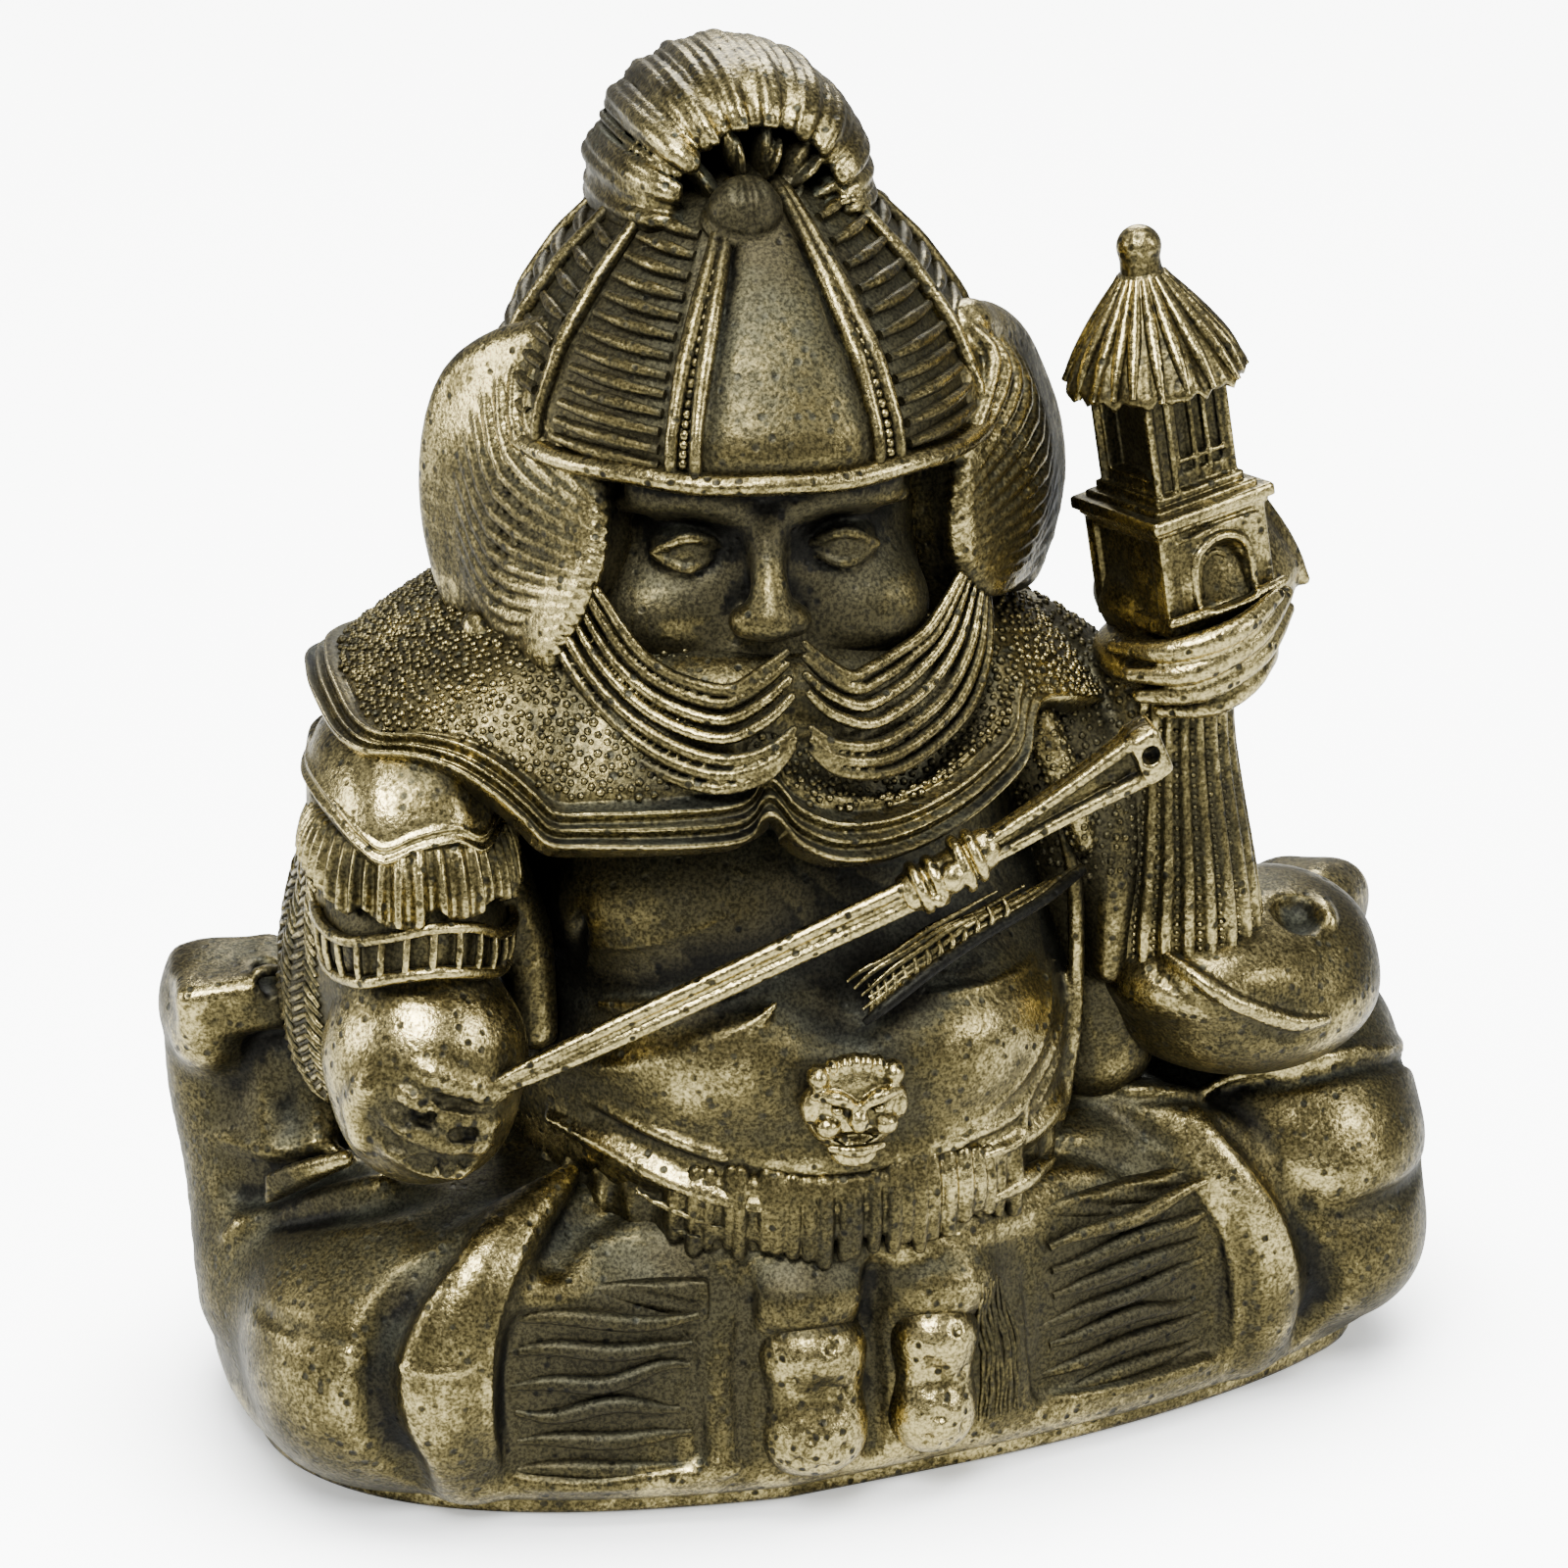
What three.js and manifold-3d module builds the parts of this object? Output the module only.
// A small brass incense figurine: a seated guardian in helmet and cape, with a staff whose flared
// head is the socket for an incense stick, and a little pagoda on the raised left palm.
// Millimetres, +Z up, the figure faces -Y. The origin is on the table under the middle of the figure.
import * as THREE from "three";
import { mergeVertices } from "three/addons/utils/BufferGeometryUtils.js";
import Module from "manifold-3d";

const wasm = await Module();
wasm.setup();

// Gaps and walls
const clearance = 0.3; // between neighbouring castings
const castWall = 3.2; // wall of the hollow lap and torso

// Closing plate under the lap
const plateThickness = 1.3;
const plateInset = 0.6;

// Lap: the robe over crossed legs, with its left knee set back behind the right one
const lapWidth = 59;
const lapDepth = 34;
const lapHeight = 14.4;
const leftKneeSetBack = 5.6;
const kneeRadius = 11.4;
const kneeHeight = 15.4;
const foldRadius = 2.3;
const creaseRadius = 1.1;
const hemHeight = 1.2; // from the closing plate up to the foot of the trouser panels
const seatSink = 2.6; // how far the torso sits down into the lap
const seatPlace = [-2.1, -1.2]; // of the torso, from the middle of the lap

// Torso
const bellyWidth = 29.4;
const bellyDepth = 29;
const chestWidth = 29;
const chestDepth = 22;
const torsoHeight = 25.4;
const waistSink = 1.4; // the torso's origin is this far below the top of the lap

// Cape over the shoulders
const capeOverhang = 4.3; // past the chest on each side
const capeInset = 0.2; // behind the front of the belly
const capeHeight = 8.2; // from the collar down to the mean lower edge
const capeWave = 1.7; // how far the lower edge swings above and below its mean
const capeCollar = 7.2;
const capeRollHeight = 0.5; // the rim is rolled up by this much

// Head, turned a little to its right
const headTurn = THREE.MathUtils.degToRad(-7);
const headLean = [-1.9, -1.6];
const headWidth = 17.2;
const headDepth = 22;
const headHeight = 18.6;
const neckRadius = 3.6;
const neckLength = 4.5;
const noseReach = 1.8;
const beardSpan = THREE.MathUtils.degToRad(80); // from the chin to each end
const beardRadius = 1.9;
const moustacheRadius = 0.95;

// Helmet and hair
const helmetOverhang = 2.9; // how far the helmet stands out past the head on each side
const helmetHeight = 11.2;
const helmetRibRadius = 0.75;
const helmetSlatRadius = 0.55;
const rimHeight = 1.2;
const rimReach = 0.6;
const knobRadius = 1.8;
const topknotWidth = 13.6;
const topknotDepth = 15;
const topknotHeight = 7;
const topknotStrands = 16;
const pegRadius = 1.2;
const pegLength = 3;
const lockThickness = 6.4;
const lockDepth = 12;
const lockLength = 13.6;
const lockStrands = 9;

// Right arm, holding the staff
const wristPlace = [-5, -7.8, 13]; // from the right side of the chest and the torso's origin
const armWidth = 9.6;
const armDepth = 12.4;
const guardHeight = 6;
const frillHeight = 3.2;
const frillFolds = 12;
const cuffHeight = 3.2;
const fistWidth = 9.2;
const fistHeight = 10.6;
const fingerRadius = 0.95;

// Staff
const staffRise = THREE.MathUtils.degToRad(23.5);
const staffTurn = THREE.MathUtils.degToRad(-2);
const staffFoot = [3.4, -7.2, -4]; // from the middle of the right wrist
const shaftWidth = 1.7;
const collarPlace = 22; // along the staff from its foot to the middle of the collar
const collarLength = 2.8;
const collarWidth = 2.8;
const staffHeadLength = 9.3;
const headFlare = 3.4;
const socketRadius = 1.15;
const socketDepth = 7;
const gripLength = 4; // the staff's tail inside the fist

// Left arm, with the sleeve that hangs from the raised palm
const sleevePlace = [4, -7.3, 3.8]; // from the left side of the belly, above the lip
const drapeHeight = 11.8;
const drapeTopWidth = 4.6;
const drapeHemWidth = 8.2;
const drapePleats = 12;
const lipWidth = 10.4;
const lipHeight = 7;
const palmWidth = 7.4;
const palmThickness = 2.9;

// Pagoda on the palm
const pagodaTurn = THREE.MathUtils.degToRad(-3);
const pagodaLean = THREE.MathUtils.degToRad(-8);
const domeRadius = 5.3;
const domeHeight = 5;
const gateWidth = 5;
const gateReach = 5; // from the pagoda's axis to the front of the gate
const ledge = 0.45; // the gate's cornice and sill stand out this far
const archWidth = 2.8;
const archHeight = 3.3;
const archDepth = 0.9;
const drumRadius = 3.5;
const drumHeight = 4.5;
const windowDepth = 0.9;
const roofRadius = 4.5;
const roofHeight = 5.9;
const roofRibs = 18;
const finialRadius = 0.9;

// Smaller pieces
const buckleWidth = 5;
const buckleThickness = 2.4;
const skirtDrop = 4.4;
const skirtPleats = 28;
const ribbonWidth = 2.6;
const ribbonThickness = 1.2;
const bootWidth = 5.4;
const bootHeight = 8.2;
const bootLength = 9;
const panelHeight = 8.6;
const panelThickness = 2.2;
const panelPleats = 4;
const rightPanelWidth = 9;
const leftPanelWidth = 9.4;
const wingHeight = 11.4;
const wingWidth = 7.6;
const wingDepth = 11;

const agedBrass = { color: 0x82754a, roughness: 0.42, metalness: 1 };
const wornBrass = { color: 0xb9a663, roughness: 0.34, metalness: 1 };
const darkBrass = { color: 0x4a4632, roughness: 0.55, metalness: 1 };

// Where each sub-assembly stands, stacked from the table up

const lapFloor = plateThickness;
const lapTop = lapFloor + lapHeight;
const torsoPlace = [...seatPlace, lapTop - waistSink];
const fromTorso = (x, y, z) => [torsoPlace[0] + x, torsoPlace[1] + y, torsoPlace[2] + z];
const headPlace = fromTorso(...headLean, torsoHeight - 1.6);
const armPlace = fromTorso(wristPlace[0] - chestWidth / 2, wristPlace[1], wristPlace[2]);
const drapePlace = fromTorso(
  bellyWidth / 2 + sleevePlace[0],
  sleevePlace[1],
  lipHeight + clearance + sleevePlace[2],
);

// The value at t, from 0 to 1, on a smooth curve through evenly spaced values.
function smoothAlong(values, t) {
  const at = t * (values.length - 1);
  const i = Math.min(Math.floor(at), values.length - 2);
  const f = at - i;
  const pick = (k) => values[THREE.MathUtils.clamp(k, 0, values.length - 1)];
  const [a, b, c, d] = [pick(i - 1), pick(i), pick(i + 1), pick(i + 2)];
  return b + 0.5 * f * (c - a + f * (2 * a - 5 * b + 4 * c - d + f * (3 * (b - c) + d - a)));
}

// A closed solid from a geometry, whichever way its faces point.
function solidOf(geometry) {
  const bare = new THREE.BufferGeometry();
  bare.setAttribute("position", geometry.getAttribute("position"));
  bare.setIndex(geometry.index);
  const merged = mergeVertices(bare, 1e-4);
  const triVerts = new Uint32Array(merged.index.array);
  const vertProperties = merged.attributes.position.array;
  const build = () => new wasm.Manifold(new wasm.Mesh({ numProp: 3, vertProperties, triVerts }));
  const made = build();
  if (made.volume() > 0) return made;
  for (let i = 0; i < triVerts.length; i += 3)
    [triVerts[i + 1], triVerts[i + 2]] = [triVerts[i + 2], triVerts[i + 1]];
  return build();
}

function geometryOf(solid) {
  const mesh = solid.getMesh();
  const geometry = new THREE.BufferGeometry();
  geometry.setAttribute("position", new THREE.BufferAttribute(mesh.vertProperties, 3));
  geometry.setIndex(new THREE.BufferAttribute(mesh.triVerts, 1));
  return geometry;
}

// A closed skin over rings of points, each ring with as many points as the last, capped at both ends.
function skin(rings) {
  const sides = rings[0].length;
  const points = rings.flat();
  const faces = [];
  for (let r = 0; r + 1 < rings.length; r++)
    for (let i = 0; i < sides; i++) {
      const low = r * sides + i;
      const next = r * sides + ((i + 1) % sides);
      faces.push(low, next, next + sides, low, next + sides, low + sides);
    }
  for (const [ring, start] of [[rings[0], 0], [rings.at(-1), (rings.length - 1) * sides]]) {
    const middle = ring.reduce((sum, p) => sum.add(p), new THREE.Vector3()).divideScalar(sides);
    const centre = points.push(middle) - 1;
    for (let i = 0; i < sides; i++) {
      const [a, b] = [start + i, start + ((i + 1) % sides)];
      faces.push(centre, ...(start === 0 ? [b, a] : [a, b]));
    }
  }
  const geometry = new THREE.BufferGeometry().setFromPoints(points);
  geometry.setIndex(faces);
  return solidOf(geometry);
}

// A point of a superellipse: power 2 is an ellipse, and more is squarer.
function roundedPoint(angle, halfWidth, halfDepth, power) {
  const [c, s] = [Math.cos(angle), Math.sin(angle)];
  const k = (Math.abs(c) ** power + Math.abs(s) ** power) ** (-1 / power);
  return [halfWidth * k * c, halfDepth * k * s];
}

const cutterSides = 16;

// A cutter with few sides wraps round the true curve, so its sides don't dip below it.
const wrap = (sides, grow) => (grow > 0 ? 1 / Math.cos(Math.PI / sides) : 1);

// How far a ridged surface stands out at an angle.
function ridged(angle, [count, height], grow) {
  return grow > 0 ? grow + height : height * Math.cos(count * angle);
}

// A solid that rises through level rings. Each row is [height, centre x, centre y, half width, half depth].
// Its ridges are [count, height]; a grown copy, which cuts a neighbour, covers them smoothly.
function rise(rows, grow, { sides = 24, levels = 8, power = 2.2, ridges = [0, 0] } = {}) {
  const column = (k) => rows.map((row) => row[k]);
  if (grow > 0) sides = Math.min(sides, cutterSides);
  const rings = [];
  for (let j = 0; j <= levels; j++) {
    const t = j / levels;
    const [z, x, y, a, b] = [0, 1, 2, 3, 4].map((k) => smoothAlong(column(k), t));
    const end = j === 0 ? -grow : j === levels ? grow : 0;
    rings.push(
      Array.from({ length: sides }, (_, i) => {
        const angle = (i / sides) * 2 * Math.PI;
        const out = ridged(angle, ridges, grow);
        const k = wrap(sides, grow);
        const [px, py] = roundedPoint(angle, (a + out) * k, (b + out) * k, power);
        return new THREE.Vector3(x + px, y + py, z + end);
      }),
    );
  }
  return skin(rings);
}

// A solid that follows a curve. Its sections have a half width along "across" and a half height square to it.
function follow(points, halfWidths, halfHeights, across, grow, options = {}) {
  const { steps = 10, power = 2, ridges = [0, 0] } = options;
  const sides = Math.min(options.sides ?? 12, grow > 0 ? cutterSides : Infinity);
  const across3 = new THREE.Vector3(...across);
  const spine = new THREE.CatmullRomCurve3(points.map((p) => new THREE.Vector3(...p)));
  const rings = [];
  for (let j = 0; j <= steps; j++) {
    const t = j / steps;
    const tangent = spine.getTangent(t);
    const side = across3.clone().addScaledVector(tangent, -tangent.dot(across3)).normalize();
    const lift = tangent.clone().cross(side);
    const end = j === 0 ? -grow : j === steps ? grow : 0;
    const middle = spine.getPoint(t).addScaledVector(tangent, end);
    const [a, b] = [smoothAlong(halfWidths, t), smoothAlong(halfHeights, t)];
    rings.push(
      Array.from({ length: sides }, (_, i) => {
        const angle = (i / sides) * 2 * Math.PI;
        const out = ridged(angle, ridges, grow);
        const k = wrap(sides, grow);
        const [u, v] = roundedPoint(angle, (a + out) * k, (b + out) * k, power);
        return middle.clone().addScaledVector(side, u).addScaledVector(lift, v);
      }),
    );
  }
  return skin(rings);
}

function blob(centre, halfSizes, grow = 0, segments = 16) {
  const geometry = new THREE.SphereGeometry(1, segments, Math.round(segments * 0.6));
  geometry.scale(...halfSizes.map((h) => h + grow));
  geometry.translate(...centre);
  return solidOf(geometry);
}

function box(centre, sizes, grow = 0) {
  const geometry = new THREE.BoxGeometry(...sizes.map((s) => s + 2 * grow));
  geometry.translate(...centre);
  return solidOf(geometry);
}

// An upright round bar between two heights; with few sides it is a prism.
function bar(radius, low, high, { x = 0, y = 0, topRadius = radius, sides = 20, turn = 0 } = {}) {
  const geometry = new THREE.CylinderGeometry(topRadius, radius, high - low, sides);
  geometry.rotateX(Math.PI / 2);
  geometry.rotateZ(turn);
  geometry.translate(x, y, (low + high) / 2);
  return solidOf(geometry);
}

const join = (...solids) => solids.reduce((a, b) => a.add(b));

// Closing plate and lap

const lapSide = lapWidth / 2;
const lapPower = 2.7;
const frontShift = 5; // the front starts to step back this far to the right of the middle

// The share of the lap's depth that is left in front at x, once the left knee is set back.
function frontShare(x) {
  const along = THREE.MathUtils.clamp((x + frontShift) / lapSide, 0, 1);
  return 1 - (2 * leftKneeSetBack * along) / lapDepth;
}

function lapFrontAt(x) {
  const bow = (1 - Math.abs(x / lapSide) ** lapPower) ** (1 / lapPower);
  return -(lapDepth / 2) * bow * frontShare(x);
}

function hemRing(share, z, grow) {
  const sides = 32;
  return Array.from({ length: sides }, (_, i) => {
    const angle = (i / sides) * 2 * Math.PI;
    const [x, y] = roundedPoint(angle, share * lapSide + grow, (share * lapDepth) / 2 + grow, lapPower);
    return new THREE.Vector3(x, y < 0 ? y * frontShare(x) : y, z);
  });
}

function hemBody(levels, grow) {
  const ends = (i) => (i === 0 ? -grow : i === levels.length - 1 ? grow : 0);
  return skin(levels.map(([share, z], i) => hemRing(share, z + ends(i), grow)));
}

function plate(grow) {
  const out = grow - plateInset;
  return skin([hemRing(1, -grow, out), hemRing(1, plateThickness + grow, out)]);
}

// Rolled cloth beside each knee and the crease behind it. Each row is [share of the lap's half width,
// distance behind its front, share of its height, share of the radius].
const kneeBands = [
  [
    [-0.479, 5.5, 1.01, 0.22], [-0.574, 3, 0.91, 0.65], [-0.652, 1.1, 0.78, 0.96], [-0.7, 0, 0.63, 1.09],
    [-0.72, -0.3, 0.47, 1.13], [-0.71, 0.4, 0.27, 1.09], [-0.669, 1.6, 0.1, 0.91],
  ],
  [
    [0.402, 6.9, 1.01, 0.26], [0.511, 4.7, 0.93, 0.74], [0.599, 2.8, 0.78, 1], [0.656, 1.6, 0.6, 1.09],
    [0.683, 1.1, 0.41, 1.09], [0.687, 1.5, 0.22, 1.04], [0.673, 2.1, 0.09, 0.87],
  ],
];
const kneeCreases = [
  [
    [-0.7, 3.4, 0.95, 0.4], [-0.723, 2.1, 0.88, 0.8], [-0.778, -0.6, 0.76, 0.9], [-0.812, -2.1, 0.63, 1],
    [-0.825, -2.7, 0.49, 1], [-0.815, -2.4, 0.33, 1], [-0.791, -1.3, 0.17, 0.9], [-0.761, 0.1, -0.03, 0.7],
  ],
  [
    [0.63, 6.4, 0.98, 0.4], [0.673, 4.5, 0.91, 0.7], [0.727, 0.6, 0.76, 0.8], [0.768, -0.6, 0.59, 0.9],
    [0.792, -1.5, 0.4, 0.9], [0.795, -1, 0.2, 0.9], [0.782, -0.1, -0.03, 0.7],
  ],
  [[-0.02, 1.6, 0.72, 0.4], [-0.02, 0.7, 0.45, 0.6], [-0.02, 0.3, 0.22, 0.6], [-0.02, 0, -0.03, 0.5]],
];

// Smaller swellings of the cloth. Each row is [share of the half width, distance behind the front, share of
// the height, then the half sizes as shares of the knee's radius].
const bulges = [
  [-0.812, 3.4, 0.35, 0.46, 0.49, 0.47],
  [0.829, 4.7, 0.7, 0.52, 0.58, 0.32],
  [0.849, 3.9, 0.34, 0.49, 0.58, 0.42],
  [-0.052, 8.8, 0.78, 1.1, 0.74, 0.26],
  [-0.137, 3.2, 0.65, 0.32, 0.33, 0.24],
  [0.083, 2.7, 0.62, 0.32, 0.32, 0.25],
  [0.172, 3.4, 0.33, 0.25, 0.3, 0.42],
  [-0.896, 11.2, 0.67, 0.4, 0.44, 0.44],
];

function onLap([share, back, level]) {
  const x = share * lapSide;
  return [x, lapFrontAt(x) + back, lapFloor + level * lapHeight];
}

function roll(rows, radius, grow) {
  const half = rows.map((row) => row[3] * radius);
  return follow(rows.map(onLap), half, half, [1, 0, 0.2], grow, { sides: 10, steps: 2 * rows.length });
}

function lap(grow) {
  const shape = [[0.965, 0], [1, 0.1], [0.99, 0.34], [0.96, 0.6], [0.9, 0.78], [0.62, 1]];
  const robe = hemBody(shape.map(([share, level]) => [share, lapFloor + level * lapHeight]), grow);
  const r = kneeRadius;
  const halfKnee = kneeHeight / 2;
  const knees = [
    blob([0.2 + r - lapSide, -5.4, lapFloor + halfKnee - 0.8], [r, r, halfKnee], grow, 18),
    blob([lapSide - r + 1.2, 0.2, lapFloor + halfKnee - 1.6], [r, r, halfKnee - 0.8], grow, 18),
    blob([lapSide - 0.6 * r, 0.2, lapTop - 0.6], [0.69 * r, 0.72 * r, 0.29 * kneeHeight], grow, 14),
    ...bulges.map(([a, b, c, ...half]) => blob(onLap([a, b, c]), half.map((h) => h * r), grow, 12)),
  ];
  const bands = kneeBands.map((rows) => roll(rows, foldRadius, grow));
  const creases = kneeCreases.map((rows) => roll(rows, creaseRadius, -grow));
  const table = box([0, 0, lapFloor - grow - lapHeight / 2], [2 * lapWidth, 2 * lapWidth, lapHeight]);
  return join(robe, ...knees, ...bands).subtract(join(table, ...creases));
}

// The lap is hollow up to the seat, where a core hole joins it to the hollow torso.
// Its front is recessed for the panels.
function lapHollow() {
  const inner = 1 - castWall / (lapDepth / 2);
  const ceiling = torsoPlace[2] - seatSink - castWall;
  const chamber = hemBody([[inner, lapFloor - 1], [inner, 0.6 * ceiling], [0.8 * inner, ceiling]], 0);
  const core = bar(coreRadius, ceiling - 1, torsoPlace[2], { x: torsoPlace[0], y: torsoPlace[1] });
  const recesses = panels.map(({ group, width }) => {
    const deep = 3 * panelThickness;
    const sizes = [width + 2 * clearance, deep, panelHeight + 2 * clearance];
    return inFigure(box([0, -deep / 2, panelHeight / 2], sizes), group);
  });
  return join(chamber, core, ...recesses);
}

// Torso

const coreRadius = Math.min(bellyWidth, bellyDepth) / 2 - 2 * castWall;
const torsoRows = [
  [-seatSink, 0, 0, bellyWidth / 2 - 2, bellyDepth / 2 - 2.2],
  [2, 0, -0.6, bellyWidth / 2 - 0.5, bellyDepth / 2 - 0.6],
  [7, 0, -1, bellyWidth / 2, bellyDepth / 2],
  [11.5, -0.3, -0.4, bellyWidth / 2 - 0.9, bellyDepth / 2 - 1.8],
  [16, -1.5, 0.3, chestWidth / 2 - 0.4, chestDepth / 2 + 0.5],
  [20, -2.2, 0.8, chestWidth / 2, chestDepth / 2],
  [torsoHeight - 1.8, headLean[0], 1.2, chestWidth / 2 - 3, chestDepth / 2 - 2],
  [torsoHeight, headLean[0], 1.2, neckRadius + 4, neckRadius + 3.4],
];
const torso = (grow) => rise(torsoRows, grow, { sides: 24, levels: 9 });

function torsoHollow() {
  const rows = torsoRows.slice(0, -2).map(([z, x, y, a, b]) => [z, x, y, a - castWall, b - castWall]);
  rows[0] = [-seatSink - 1, 0, 0, coreRadius, coreRadius];
  return rise(rows, 0, { sides: 12, levels: 5 });
}

function buckle(grow) {
  const front = torsoRows[2][2] - bellyDepth / 2;
  return blob([0, front, 6.2], [buckleWidth / 2, buckleThickness / 2, buckleWidth / 2 + 0.2], grow, 12);
}

function skirt(grow) {
  const low = -skirtDrop - seatSink + 4.8;
  const rows = [0, 0.5, 1].map((t) => [
    low + t * skirtDrop, 0, -0.5, bellyWidth / 2 - 0.2 - 0.8 * t, bellyDepth / 2 + 0.3 - 0.8 * t,
  ]);
  return rise(rows, grow, { sides: 2 * skirtPleats, levels: 1, ridges: [skirtPleats, 0.18] });
}

function ribbon(grow) {
  const path = [[0.04, -0.89, 0.47], [0.33, -0.86, 0.52], [0.6, -0.73, 0.555], [0.82, -0.55, 0.555]];
  const points = path.map(([x, y, level]) => [
    (x * bellyWidth) / 2, (y * bellyDepth) / 2, level * torsoHeight,
  ]);
  const half = [0.42, 0.5, 0.5, 0.36].map((share) => share * ribbonWidth);
  const thin = half.map(() => ribbonThickness / 2);
  return follow(points, half, thin, [0, 0, 1], grow, { sides: 8, steps: 6, power: 3 });
}

// Cape: a poncho whose lower edge dips in front and behind and rises over the shoulders.
function cape(grow) {
  const sides = 30;
  const top = torsoPlace[2] + torsoHeight + 4.2;
  const reaches = [0, 0.3, 0.58, 0.82, 0.88, 1];
  const last = reaches.length - 1;
  const half = [chestWidth / 2 + capeOverhang, bellyDepth / 2 - capeInset];
  const rings = reaches.map((v, k) =>
    Array.from({ length: sides }, (_, i) => {
      const angle = (i / sides) * 2 * Math.PI;
      const edge = capeHeight - capeWave * Math.cos(2 * angle);
      const [a, b] = half.map((h) => THREE.MathUtils.lerp(capeCollar, h, v ** 0.85) + grow);
      const [x, y] = roundedPoint(angle, a, b, 2.2);
      const rolled = v > 0.85 ? capeRollHeight : 0;
      const drop = k === 0 ? -grow : v ** 1.25 * edge - rolled + (k === last ? grow : 0);
      return new THREE.Vector3(headPlace[0] - 0.8 + x, headPlace[1] + 0.8 + y, top - drop);
    }),
  );
  return skin(rings.reverse());
}

// Head, with the neck that plugs into the torso

const headRows = [
  [-0.1, 0, -3.2, 0.24 * headWidth, 0.24 * headDepth],
  [0.02, 0, -2.1, 0.37 * headWidth, 0.39 * headDepth],
  [0.19, 0, -1, 0.475 * headWidth, 0.475 * headDepth],
  [0.4, 0, -0.5, headWidth / 2, headDepth / 2],
  [0.6, 0, 0, 0.49 * headWidth, 0.49 * headDepth],
  [0.79, 0, 0.3, 0.36 * headWidth, 0.38 * headDepth],
  [0.9, 0, 0.5, 0.16 * headWidth, 0.2 * headDepth],
].map(([share, ...rest]) => [share * headHeight, ...rest]);
const faceFront = -headDepth / 2 - 0.4;

function head(grow) {
  const skull = rise(headRows, grow, { sides: 18, levels: 8 });
  const nose = blob([0, faceFront, 0.36 * headHeight], [1.5, noseReach, 2.1], grow, 10);
  const cheeks = [-1, 1].map((side) =>
    blob([0.26 * side * headWidth, faceFront + 2.3, 0.3 * headHeight], [2, 1.6, 1.5], grow, 8),
  );
  const neck = bar(neckRadius + grow, -neckLength - 2 - grow, 2, { y: 0.6, sides: 14 });
  return join(skull, nose, ...cheeks, neck);
}

function beard(grow) {
  const points = [-1, -0.69, -0.35, 0, 0.35, 0.69, 1].map((share) => {
    const u = share * beardSpan;
    const reach = (0.24 + 0.3 * Math.cos(u)) * headDepth;
    return [(headWidth / 2 + 0.8) * Math.sin(u), -reach, 0.38 * headHeight - 0.46 * headHeight * Math.cos(u)];
  });
  const half = [0.5, 1, 1.1, 1.2, 1.1, 1, 0.5].map((share) => share * beardRadius);
  const thick = half.map(() => beardRadius);
  return follow(points, half, thick, [0, 0, 1], grow, { sides: 10, steps: 9, ridges: [5, 0.12] });
}

function moustache(grow) {
  const half = [0.4, 1, 0.9, 1, 0.4].map((share) => share * moustacheRadius);
  const points = [-1, -0.5, 0, 0.5, 1].map((s) => [
    0.4 * s * headWidth, faceFront - 1 + 2.4 * s * s, 0.18 * headHeight - 3.6 * Math.abs(s) + 2.8 * s * s,
  ]);
  return follow(points, half, half, [0, 0, 1], grow, { sides: 8, steps: 8 });
}

// Helmet and hair. The helmet's own origin is the middle of its brim.

const brimHalfWidth = headWidth / 2 + helmetOverhang;
const brimHalfDepth = headDepth / 2 + 0.6 * helmetOverhang;
const helmetShape = [[0, 1], [0.17, 0.99], [0.42, 0.88], [0.66, 0.7], [0.85, 0.54], [1, 0.38]];
const helmetRows = helmetShape.map(([level, share]) => [
  level * helmetHeight, 0, 0.8 * level, share * brimHalfWidth, share * brimHalfDepth,
]);
const ribAngles = [-150, -118, -88, -63, -21, 29, 64, 92, 122, 154, 184];
const slatHeights = [0.22, 0.4, 0.58, 0.76, 0.92];

// A point on the bowl, at degrees from the middle of its front towards the left ear.
function onHelmet(degrees, height) {
  const [z, x, y, a, b] = [0, 1, 2, 3, 4].map((k) => smoothAlong(helmetRows.map((row) => row[k]), height));
  const [px, py] = roundedPoint(THREE.MathUtils.degToRad(degrees - 90), a, b, 2.2);
  return [x + px, y + py, z];
}

// A smooth bowl under upright ribs, with level slats between them on both sides of a plain front panel.
// A grown copy covers them smoothly.
function helmet(grow) {
  const bowl = rise(helmetRows, grow > 0 ? grow + 0.6 * helmetRibRadius : 0, { sides: 32, levels: 8 });
  if (grow > 0) return bowl;
  const thick = (radius) => [1, 1, 1].map((share) => share * radius);
  const ribs = ribAngles.map((degrees) => {
    const angle = THREE.MathUtils.degToRad(degrees);
    const points = [0, 0.2, 0.4, 0.6, 0.8, 1].map((t) => onHelmet(degrees, t));
    const half = thick(helmetRibRadius);
    return follow(points, half, half, [Math.cos(angle), Math.sin(angle), 0], 0, { sides: 6, steps: 8 });
  });
  const slats = slatHeights.flatMap((height) =>
    [[-176, -21], [29, 184]].map(([from, to]) => {
      const points = [0, 0.2, 0.4, 0.6, 0.8, 1].map((t) => onHelmet(from + t * (to - from), height));
      const half = thick(helmetSlatRadius);
      return follow(points, half, half, [0, 0, 1], 0, { sides: 6, steps: 12 });
    }),
  );
  return join(bowl, ...ribs, ...slats);
}

function helmetRim(grow) {
  const rows = [-0.5, 0, 0.5].map((level) => {
    const reach = rimReach * (level === 0 ? 1 : 0.7);
    return [level * rimHeight, 0, 0, brimHalfWidth + reach, brimHalfDepth + reach];
  });
  return rise(rows, grow, { sides: 28, levels: 2 });
}

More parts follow.
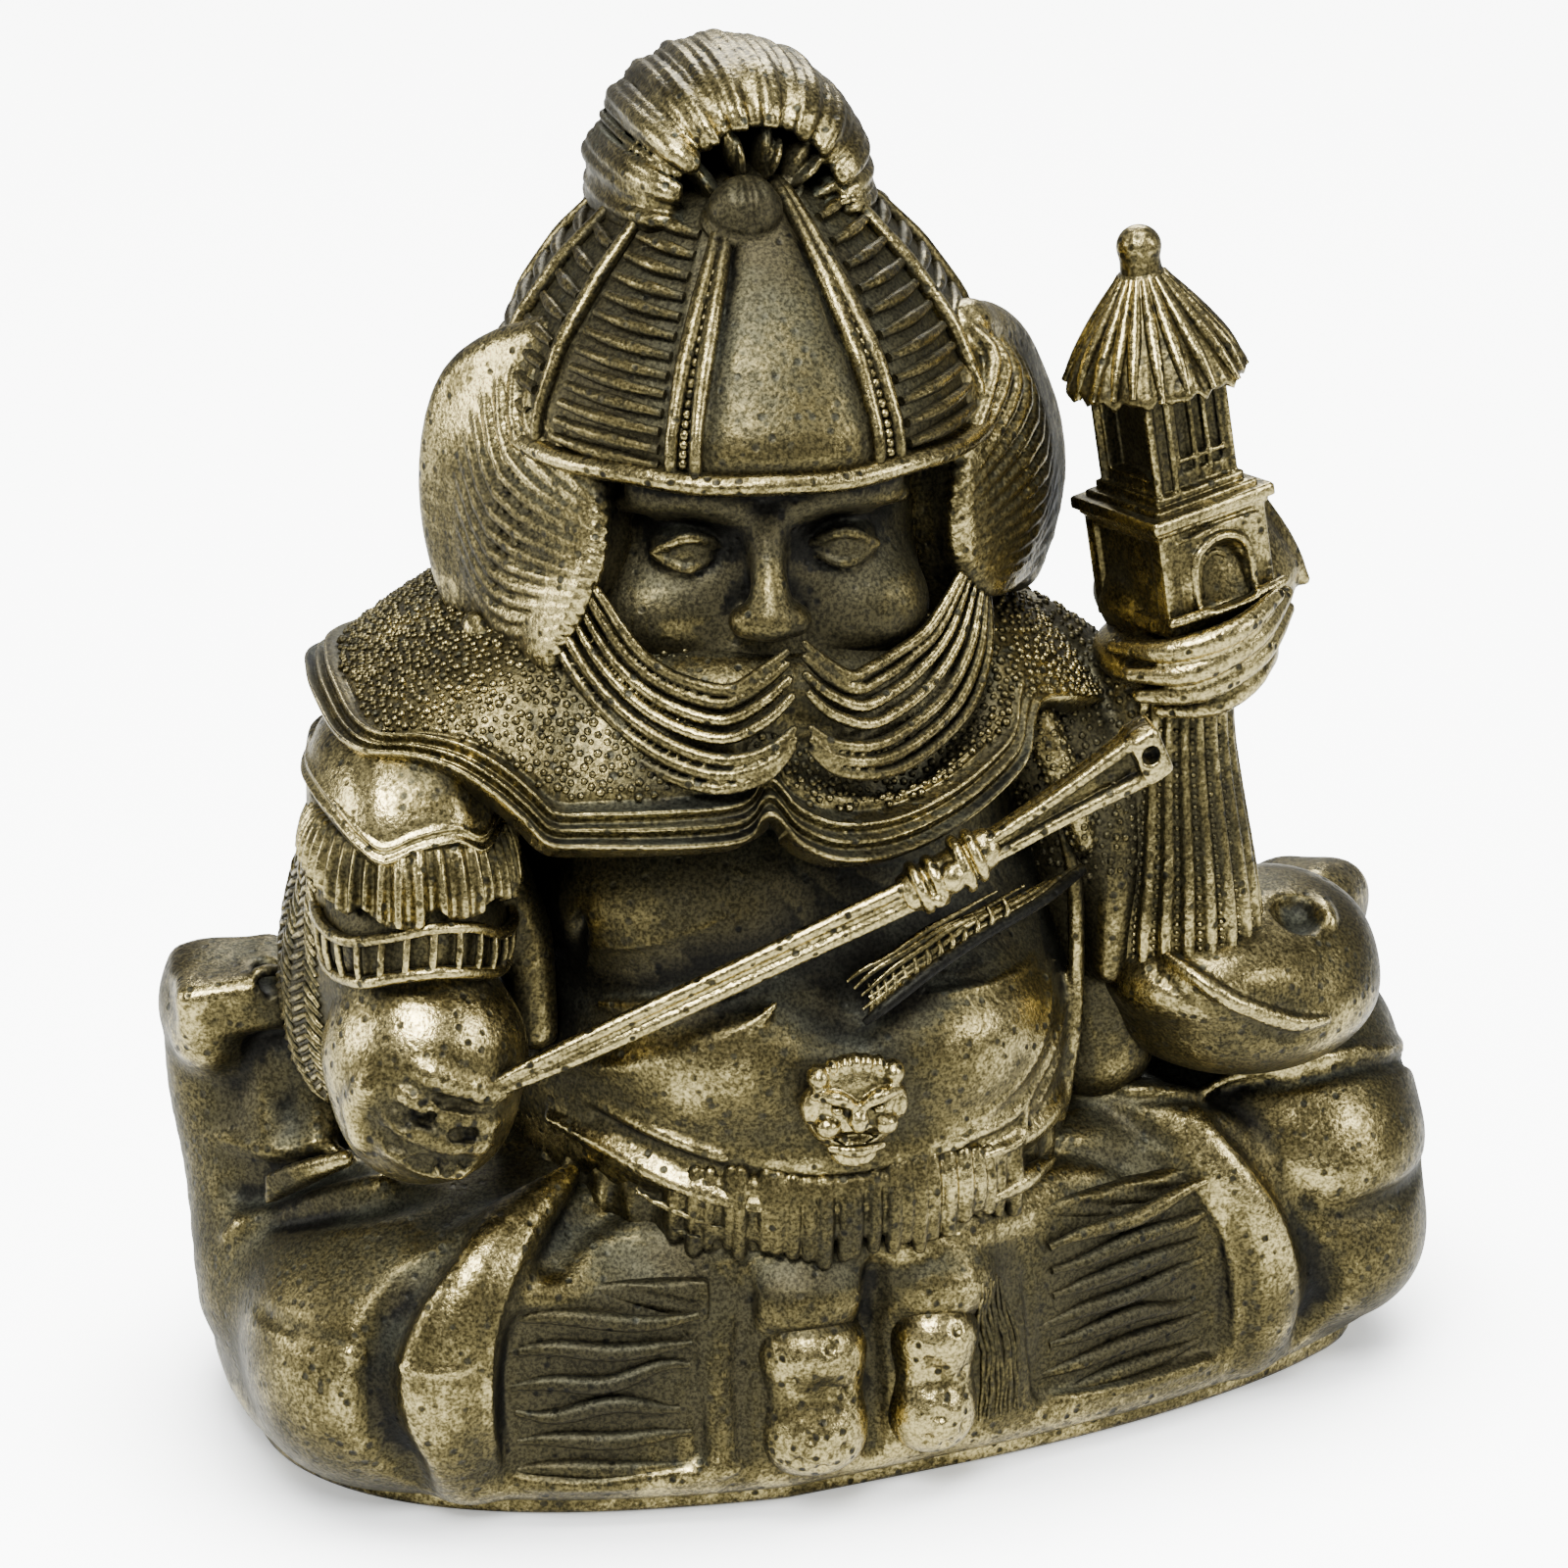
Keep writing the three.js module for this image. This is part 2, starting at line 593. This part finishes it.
function knob(grow) {
  const [y, z] = [-0.51 * brimHalfDepth, 0.8 * helmetHeight];
  const peg = bar(0.5 * pegRadius + grow, z - pegLength, z, { y, sides: 8 });
  return join(blob([0, y, z + 0.7], [knobRadius, knobRadius, 0.75 * knobRadius], grow, 12), peg);
}

function topknot(grow) {
  const seat = helmetHeight - 1.8;
  const [a, b, h] = [topknotWidth / 2, topknotDepth / 2, topknotHeight];
  const rows = [
    [seat, 0, 1.9, 0.93 * a, 0.88 * b],
    [seat + 0.16 * h, 0, 1.6, a, b],
    [seat + 0.5 * h, -0.2, 1.3, 0.88 * a, 0.9 * b],
    [seat + 0.8 * h, -0.4, 1, 0.6 * a, 0.64 * b],
    [seat + h, -0.6, 0.8, 0.2 * a, 0.24 * b],
  ];
  const hair = rise(rows, grow, { sides: 2 * topknotStrands, levels: 6, ridges: [topknotStrands, 0.2] });
  const hollow = blob([0, 1.6 - b, seat + 0.9], [0.72 * a, 0.62 * b, 0.42 * h], -grow, 12);
  const peg = bar(pegRadius + grow, seat - pegLength - grow, seat + 1, { y: 2.4, sides: 10 });
  return join(hair.subtract(hollow), peg);
}

// A swept-back lock beside the face: side is -1 on the figure's right and 1 on its left.
function lock(side, grow) {
  const drops = [
    [0.68, 1, 0.24],
    [0.96, 0.3, 0.09],
    [0.99, -0.7, -0.24],
    [0.94, -2.1, -0.54],
    [0.86, -3.3, -0.74],
  ];
  const points = drops.map(([share, y, drop]) => [side * share * brimHalfWidth, y, drop * lockLength]);
  const half = [0.35, 0.9, 1, 0.86, 0.35];
  const thin = half.map((share) => (share * lockThickness) / 2);
  const deep = half.map((share) => (share * lockDepth) / 2);
  return follow(points, thin, deep, [1, 0, 0], grow, {
    sides: 2 * lockStrands,
    steps: 8,
    ridges: [lockStrands, 0.16],
  });
}

function backHair(grow) {
  const rows = [-0.82, -0.44, -0.1].map((level, i) => [
    level * lockLength, 0, 3.4, brimHalfWidth - (i === 0 ? 2.2 : 0.4), 0.62 * brimHalfDepth + 0.8 * i,
  ]);
  return rise(rows, grow, { sides: 28, levels: 3, ridges: [14, 0.2] });
}

// Right arm, from the fist up to the shoulder guard. The group's origin is the middle of the wrist.

const [armHalf, armDeep] = [armWidth / 2, armDepth / 2];
const guardLow = cuffHeight + frillHeight - 0.6;

function fist(grow) {
  const half = fistWidth / 2;
  const ball = blob([0.4, -3.8, 1.1 - fistHeight / 2], [half, half, fistHeight / 2], grow, 12);
  const r = fingerRadius;
  const fingers = [-2.5, -0.83, 0.83, 2.5].map((step) =>
    blob([step * r, -2.4 - half, -1.2 - fistHeight / 2], [r, 1.3 * r, 2.4 * r], grow, 6),
  );
  return join(ball, ...fingers);
}

function forearmGuard(grow) {
  const rows = [
    [-0.4, 0.2, -2, armHalf - 0.7, armDeep - 1.2],
    [cuffHeight, 0, -1, armHalf - 0.5, armDeep - 0.8],
  ];
  return rise(rows, grow, { sides: 20, levels: 1 });
}

function frill(grow) {
  const rows = [
    [cuffHeight - 0.5, 0.2, -0.8, armHalf - 0.4, armDeep - 0.4],
    [cuffHeight + 0.4 * frillHeight, 0.1, -0.6, armHalf + 0.1, armDeep + 0.1],
    [cuffHeight + frillHeight, 0, -0.2, armHalf - 0.7, armDeep - 0.9],
  ];
  return rise(rows, grow, { sides: 3 * frillFolds, levels: 2, ridges: [frillFolds, 0.3] });
}

function shoulderGuard(grow) {
  const rows = [
    [guardLow, 0, -0.2, armHalf + 0.2, armDeep],
    [guardLow + 0.2 * guardHeight, 0, -0.1, armHalf, armDeep - 0.2],
    [guardLow + 0.6 * guardHeight, 0.8, 0.6, armHalf - 0.6, armDeep - 1],
    [guardLow + guardHeight, 2.2, 1.6, armHalf - 1.8, armDeep - 2.6],
  ];
  return rise(rows, grow, { sides: 22, levels: 4 });
}

function sideArmour(grow) {
  const drops = [[-1.6, 5.6, 0.6], [-2.4, 5, -0.2], [-2.9, 4.4, -0.75]];
  const points = drops.map(([x, y, drop]) => [x, y, drop * fistHeight]);
  return follow(points, [1.8, 2.4, 2.6], [3.4, 4, 4.4], [1, 0, 0], grow, { sides: 10, steps: 5, power: 3 });
}

// Wings of the robe that stand up behind each hip: side is -1 on the figure's right.
function wing(side, grow) {
  const sink = side > 0 ? 3.2 : 3.6;
  const foot = lapTop - sink;
  const top = foot + wingHeight;
  const x = side * (lapSide - (side > 0 ? 4.6 : 1.6));
  const y = side > 0 ? 0.8 : 2.2;
  const shape = [
    [0, -0.8, 0.5, 0.52],
    [0.32, -0.7, 0.42, 0.5],
    [0.7, 0, 0.5, 0.5],
    [0.9, 0.1, 0.47, 0.44],
    [1, -0.3, 0.3, 0.28],
  ];
  const rows = shape.map(([level, out, a, b]) => [
    foot + level * (top - foot), x + side * out, y, a * wingWidth, b * wingDepth,
  ]);
  return rise(rows, grow, { sides: 18, levels: 6 });
}

// Staff. Its group's +Z runs from the foot, at the fist, to the tip.

const collarLow = collarPlace - collarLength / 2;
const collarHigh = collarPlace + collarLength / 2;
const headLow = collarHigh + clearance;
const staffLength = headLow + staffHeadLength;

function staffCollar(grow) {
  const outer = collarWidth / 2 + grow;
  return join(
    bar(outer, collarLow - grow, collarLow + 0.36 * collarLength, { sides: 12 }),
    bar(0.85 * outer, collarLow + 0.3 * collarLength, collarHigh - 0.3 * collarLength, { sides: 12 }),
    bar(outer, collarHigh - 0.36 * collarLength, collarHigh + grow, { sides: 12 }),
  );
}

function staffShaft(grow) {
  return bar(shaftWidth / 2 + grow, -gripLength - grow, collarLow - clearance + grow, { sides: 10 });
}

function staffHead(grow) {
  const mouth = { topRadius: headFlare / 2 + grow, sides: 14 };
  return bar(shaftWidth / 2 + 0.15 + grow, headLow - grow, staffLength + grow, mouth);
}
const stickSocket = () => bar(socketRadius, staffLength - socketDepth, staffLength + 1, { sides: 14 });

// Left arm: a sleeve hangs from the palm in long pleats and ends in a wide lip on the lap

function drape(grow) {
  const middle = (drapeHemWidth + drapeTopWidth) / 2 - 0.6;
  const half = [drapeHemWidth, middle, drapeTopWidth].map((width) => width / 2);
  const points = [[0.6, 0, 0], [0.3, 0.3, 0.5 * drapeHeight], [0, 0.5, drapeHeight]];
  return follow(points, half, half.map((h) => h - 0.3), [1, 0, 0], grow, {
    sides: 2 * drapePleats,
    steps: 4,
    ridges: [drapePleats, 0.28],
  });
}

function sleeveLip(grow) {
  const w = lipWidth / 2;
  const shape = [
    [-1, 2.6, 1, 0.72, 0.76],
    [-0.66, 2.9, 0.6, 0.95, 1],
    [-0.32, 2.2, 0.8, 1, 0.94],
    [0, 1.2, 1, 0.9, 0.82],
  ];
  const rows = shape.map(([level, x, y, a, b]) => [level * lipHeight - clearance, x, y, a * w, b * w]);
  return rise(rows, grow, { sides: 18, levels: 4 });
}

function leftArm(grow) {
  const path = [[-10.4, 7.2, 0.6], [-6, 5.6, 0.55], [-2, 3.2, 0.71]];
  const points = path.map(([x, y, level]) => [x, y, level * drapeHeight]);
  const half = [4, 3.7, 2.6];
  return follow(points, half, half, [1, 0, 0], grow, { steps: 5 });
}

function palm(grow) {
  const half = palmWidth / 2;
  const z = drapeHeight + clearance + palmThickness / 2;
  const finger = [0.85 * half, 1.5, 0.21 * palmThickness];
  const fingers = [-1, 0, 1].map((k) =>
    blob([0.3 * k, -0.65 * half, z + 0.29 * k * palmThickness], finger, grow, 8),
  );
  return join(blob([-0.3, 0.6, z], [half, half, palmThickness / 2], grow, 12), ...fingers);
}

// Pagoda. Its own origin is the middle of the dome's foot, and its gate faces -Y.

const drumLow = domeHeight + clearance;
const roofLow = drumLow + drumHeight + clearance;
const roofTop = roofLow + roofHeight;

function dome(grow) {
  const shape = [[0, 0.76 * domeRadius], [0.2, domeRadius], [0.55, 0.93 * domeRadius], [1, drumRadius]];
  const rows = shape.map(([level, radius]) => [level * domeHeight, 0, 0, radius, radius]);
  return rise(rows, grow, { sides: 18, levels: 4, power: 2 });
}

function gate(grow) {
  const deep = gateReach - ledge;
  const wall = box([0, -deep / 2 - 0.6, domeHeight / 2], [gateWidth, deep - 1.2, domeHeight], grow);
  const shelves = [0.5 * ledge, domeHeight - ledge].map((z) =>
    box([0, -gateReach / 2 - 0.6, z + 0.2], [gateWidth + 2 * ledge, gateReach - 1.2, 2 * ledge], grow),
  );
  return join(wall, ...shelves);
}

// The arch is a sunk doorway, with its foot on the sill.
function archDoor() {
  const outline = new THREE.Shape();
  const r = archWidth / 2;
  outline.moveTo(-r, 0);
  outline.lineTo(r, 0);
  outline.lineTo(r, archHeight - r);
  outline.absarc(0, archHeight - r, r, 0, Math.PI, false);
  outline.closePath();
  const deep = archDepth + ledge;
  const door = new THREE.ExtrudeGeometry(outline, { depth: deep + 1, bevelEnabled: false, curveSegments: 6 });
  door.rotateX(Math.PI / 2);
  door.translate(0, deep - gateReach, 2 * ledge);
  return solidOf(door);
}

const drum = (grow) => bar(drumRadius + grow, drumLow - grow, drumLow + drumHeight + grow, { sides: 6 });

function drumWindows() {
  const reach = drumRadius * Math.cos(Math.PI / 6);
  const cuts = Array.from({ length: 6 }, (_, i) => {
    const cut = new THREE.BoxGeometry(0.5 * drumRadius, 2 * windowDepth, 0.62 * drumHeight);
    cut.translate(0, -reach, drumLow + 0.5 * drumHeight);
    cut.rotateZ((i * Math.PI) / 3);
    return solidOf(cut);
  });
  return join(...cuts);
}

function roof(grow) {
  const sides = 2 * roofRibs;
  const levels = [[0, 1], [0.08, 1.02], [0.5, 0.56], [1, 0.17]];
  const last = levels.length - 1;
  const rings = levels.map(([v, share], k) =>
    Array.from({ length: sides }, (_, i) => {
      const angle = (i / sides) * 2 * Math.PI;
      const sector = (angle % (Math.PI / 3)) - Math.PI / 6;
      const hexagon = Math.cos(Math.PI / 6) / Math.cos(sector);
      const eaves = roofRadius * share * THREE.MathUtils.lerp(hexagon, 1, v);
      const radius = eaves + ridged(angle, [roofRibs, 0.12 * (1 - v)], grow);
      const z = roofLow + v * roofHeight + (k === 0 ? -grow : k === last ? grow : 0);
      return new THREE.Vector3(radius * Math.cos(angle), radius * Math.sin(angle), z);
    }),
  );
  return skin(rings);
}

function finial(grow) {
  const r = finialRadius;
  const stem = bar(0.5 * r + grow, roofTop - 1.6 - grow, roofTop + 0.4, { sides: 8 });
  return join(blob([0, 0, roofTop + r], [r, r, 1.2 * r], grow, 10), stem);
}

// Boots and trouser panels on the front of the lap

const bootProud = 0.9;

function boot(side, grow) {
  const share = side < 0 ? 1 : 0.87;
  const x = side < 0 ? -bootWidth / 2 - 1 : bootWidth / 2 - 0.4;
  const front = lapFrontAt(x) - bootProud;
  const [a, b] = [(share * bootWidth) / 2, (share * bootHeight) / 2];
  const z = lapFloor + 1 + b;
  const points = [[x, front, z], [x, front + 0.12 * bootLength, z], [x, front + bootLength, z + 0.8]];
  const sole = { sides: 14, steps: 4, power: 2.4 };
  return follow(points, [0.66 * a, a, 0.9 * a], [0.76 * b, b, 0.9 * b], [1, 0, 0], grow, sole);
}

// A panel of level pleats: a saw-toothed profile drawn across the width.
function panel(width, grow) {
  const profile = new THREE.Shape();
  const step = panelHeight / panelPleats;
  const back = panelThickness / 2 + grow;
  profile.moveTo(back, -grow);
  profile.lineTo(back, panelHeight + grow);
  for (let i = panelPleats; i > 0; i--) {
    profile.lineTo(-back, i * step + (i === panelPleats ? grow : 0));
    profile.lineTo(0.25 * panelThickness - back, (i - 0.7) * step);
  }
  profile.lineTo(-back, -grow);
  profile.closePath();
  const geometry = new THREE.ExtrudeGeometry(profile, { depth: width + 2 * grow, bevelEnabled: false });
  geometry.rotateX(Math.PI / 2);
  geometry.rotateZ(Math.PI / 2);
  geometry.translate(-width / 2 - grow, 0, 0);
  return solidOf(geometry);
}

// The figure: groups stand where each sub-assembly does, and hold its castings.

const figure = new THREE.Group();
function groupAt(parent, place, turn = [0, 0, 0]) {
  const group = new THREE.Group();
  group.position.set(...place);
  group.rotation.set(...turn);
  parent.add(group);
  return group;
}

const torsoGroup = groupAt(figure, torsoPlace);
const headGroup = groupAt(figure, headPlace, [0, 0, headTurn]);
const helmetGroup = groupAt(headGroup, [0, 0, 0.67 * headHeight]);
const armGroup = groupAt(figure, armPlace);
const drapeGroup = groupAt(figure, drapePlace);
const pagodaFoot = [0, 0.4, drapeHeight + palmThickness + 2 * clearance];
const pagodaGroup = groupAt(drapeGroup, pagodaFoot, [0, pagodaLean, pagodaTurn]);
const staffGroup = groupAt(armGroup, staffFoot);
staffGroup.rotation.set(0, Math.PI / 2 - staffRise, staffTurn, "ZYX");

// Each panel follows the lap's front where it stands, a little behind it.
const panelSink = 0.6;
const panelRows = [
  ["trouser_panel_right", -0.24, rightPanelWidth],
  ["trouser_panel_left", 0.21, leftPanelWidth],
];
const panels = panelRows.map(([name, share, width]) => {
  const x = share * lapWidth;
  const place = [x, lapFrontAt(x) + panelSink + panelThickness / 2, lapFloor + hemHeight];
  const slope = Math.atan2(lapFrontAt(x + width / 2) - lapFrontAt(x - width / 2), width);
  return { name, width, group: groupAt(figure, place, [0, 0, slope]) };
});

// Each casting is cut clear of those listed before it, so the first keep their whole shape.
const castings = [
  { name: "base_plate", group: figure, shape: plate, finish: darkBrass },
  { name: "staff_shaft", group: staffGroup, shape: staffShaft, finish: agedBrass },
  { name: "staff_collar", group: staffGroup, shape: staffCollar, finish: wornBrass },
  { name: "staff_head", group: staffGroup, shape: staffHead, hollow: stickSocket, finish: wornBrass },
  { name: "head", group: headGroup, shape: head, finish: darkBrass },
  { name: "topknot", group: helmetGroup, shape: topknot, finish: agedBrass },
  { name: "helmet_knob", group: helmetGroup, shape: knob, finish: darkBrass },
  { name: "helmet_rim", group: helmetGroup, shape: helmetRim, finish: wornBrass },
  { name: "helmet_bowl", group: helmetGroup, shape: helmet, finish: agedBrass },
  { name: "moustache", group: headGroup, shape: moustache, finish: agedBrass },
  { name: "beard", group: headGroup, shape: beard, finish: agedBrass },
  { name: "hair_lock_right", group: helmetGroup, shape: (grow) => lock(-1, grow), finish: agedBrass },
  { name: "hair_lock_left", group: helmetGroup, shape: (grow) => lock(1, grow), finish: agedBrass },
  { name: "hair_back", group: helmetGroup, shape: backHair, finish: agedBrass },
  { name: "cape", group: figure, shape: cape, finish: agedBrass },
  { name: "torso", group: torsoGroup, shape: torso, hollow: torsoHollow, finish: agedBrass },
  { name: "belt_buckle", group: torsoGroup, shape: buckle, finish: wornBrass },
  { name: "ribbon", group: torsoGroup, shape: ribbon, finish: wornBrass },
  { name: "fist_right", group: armGroup, shape: fist, finish: wornBrass },
  { name: "forearm_guard", group: armGroup, shape: forearmGuard, finish: agedBrass },
  { name: "sleeve_frill", group: armGroup, shape: frill, finish: agedBrass },
  { name: "shoulder_guard", group: armGroup, shape: shoulderGuard, finish: agedBrass },
  { name: "side_armour", group: armGroup, shape: sideArmour, finish: darkBrass },
  { name: "pagoda_finial", group: pagodaGroup, shape: finial, finish: agedBrass },
  { name: "pagoda_roof", group: pagodaGroup, shape: roof, finish: agedBrass },
  { name: "pagoda_drum", group: pagodaGroup, shape: drum, hollow: drumWindows, finish: darkBrass },
  { name: "pagoda_gate", group: pagodaGroup, shape: gate, hollow: archDoor, finish: agedBrass },
  { name: "pagoda_dome", group: pagodaGroup, shape: dome, finish: agedBrass },
  { name: "palm_left", group: drapeGroup, shape: palm, finish: wornBrass },
  { name: "sleeve_drape", group: drapeGroup, shape: drape, finish: agedBrass },
  { name: "sleeve_lip", group: drapeGroup, shape: sleeveLip, finish: agedBrass },
  { name: "arm_left", group: drapeGroup, shape: leftArm, finish: darkBrass },
  { name: "skirt", group: torsoGroup, shape: skirt, finish: darkBrass },
  { name: "robe_wing_right", group: figure, shape: (grow) => wing(-1, grow), finish: agedBrass },
  { name: "robe_wing_left", group: figure, shape: (grow) => wing(1, grow), finish: agedBrass },
  { name: "boot_right", group: figure, shape: (grow) => boot(-1, grow), finish: wornBrass },
  { name: "boot_left", group: figure, shape: (grow) => boot(1, grow), finish: wornBrass },
  ...panels.map(({ name, group, width }) => {
    return { name, group, shape: (grow) => panel(width, grow), finish: darkBrass };
  }),
  { name: "lap", group: figure, shape: lap, hollow: lapHollow, finish: agedBrass },
];

figure.updateMatrixWorld(true);
const inFigure = (solid, group) => solid.transform(group.matrixWorld.elements);
const largest = (solid) => solid.decompose().reduce((a, b) => (b.volume() > a.volume() ? b : a));

const cutters = [];
for (const { name, group, shape, hollow, finish } of castings) {
  let body = inFigure(shape(0), group);
  if (hollow) body = body.subtract(inFigure(hollow(), group));
  for (const cutter of cutters) body = body.subtract(cutter);
  const geometry = geometryOf(largest(body)).applyMatrix4(group.matrixWorld.clone().invert());
  const mesh = new THREE.Mesh(geometry, new THREE.MeshStandardMaterial(finish));
  mesh.name = name;
  group.add(mesh);
  cutters.push(inFigure(shape(clearance), group));
}

// The origin is on the table, under the middle of the finished figure.
const extent = new THREE.Box3().setFromObject(figure, true);
const middle = extent.getCenter(new THREE.Vector3());
figure.position.set(-middle.x, -middle.y, -extent.min.z);

export default figure;
